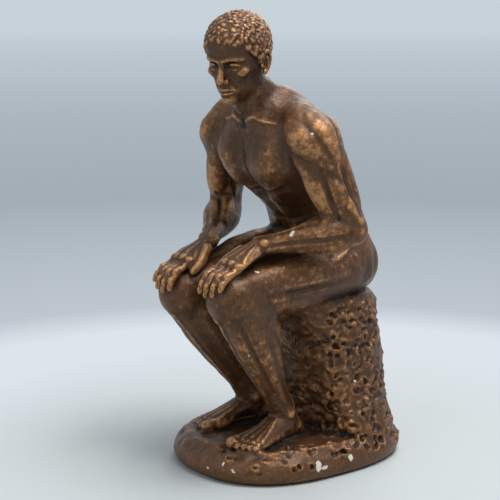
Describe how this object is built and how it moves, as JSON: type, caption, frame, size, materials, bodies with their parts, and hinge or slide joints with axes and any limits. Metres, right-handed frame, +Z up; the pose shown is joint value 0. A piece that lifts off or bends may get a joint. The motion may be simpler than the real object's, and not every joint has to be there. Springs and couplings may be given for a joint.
{
  "type": "seated figure statuette",
  "caption": "Bronze-painted plaster statuette of a seated man leaning on his knees, on a pitted rock seat with an oval plinth",
  "frame": {"origin": "centre of the underside of the felt pad, where the statuette stands", "axes": "+Z up, the figure faces -Y, and its left is +X"},
  "size_m": [0.165, 0.1827, 0.3254],
  "materials": {
    "painted_plaster": "satin bronze-coloured paint over white plaster, dark in the hollows, worn golden on the raised parts",
    "armature_wire": "plain drawn wire",
    "fixings": "zinc plated",
    "felt": "dark wool felt"
  },
  "bodies": {
    "root": {"rock_base": "painted_plaster", "torso": "painted_plaster", "head": "painted_plaster", "left_arm": "painted_plaster", "right_arm": "painted_plaster", "left_leg": "painted_plaster", "right_leg": "painted_plaster", "left_arm_wire": "armature_wire", "right_arm_wire": "armature_wire", "left_leg_wire": "armature_wire", "right_leg_wire": "armature_wire", "neck_wire": "armature_wire", "tie_rod": "fixings", "anchor_nut": "fixings", "tie_washer": "fixings", "tie_nut": "fixings", "felt_pad": "felt"}
  },
  "joints": []
}
